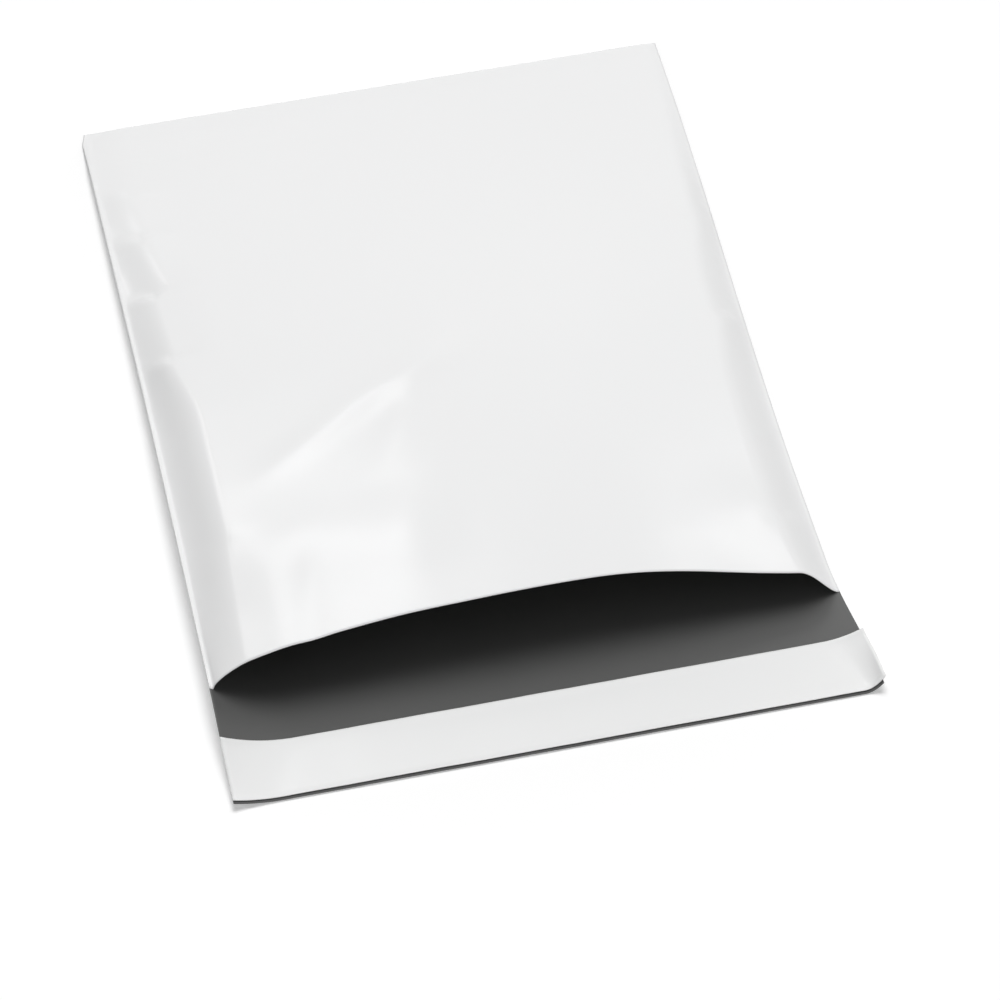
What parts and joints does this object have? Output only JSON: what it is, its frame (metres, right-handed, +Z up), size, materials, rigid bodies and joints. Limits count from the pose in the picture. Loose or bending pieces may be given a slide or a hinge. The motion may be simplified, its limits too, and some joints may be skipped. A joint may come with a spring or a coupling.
{
  "type": "poly mailer bag",
  "caption": "Flat film mailing bag lying on its back, standing slightly open, with an open closing flap, an adhesive strip and its release liner.",
  "frame": {"origin": "on the surface that the bag lies on, under the middle of its length with the flap open and the middle of its width", "axes": "+X across the bag, to the right when looking into the bag from its mouth; +Y from the flap to the bottom fold; +Z up"},
  "size_m": [0.2541, 0.3805, 0.0348],
  "materials": {
    "film": "white outside and dark grey inside, soft gloss, opaque",
    "adhesive": "clear pressure-sensitive adhesive, slightly yellow",
    "liner": "off-white, smooth silicone release side"
  },
  "bodies": {
    "root": {"film_bag": "film", "adhesive_strip": "adhesive", "release_liner": "liner"}
  },
  "joints": []
}
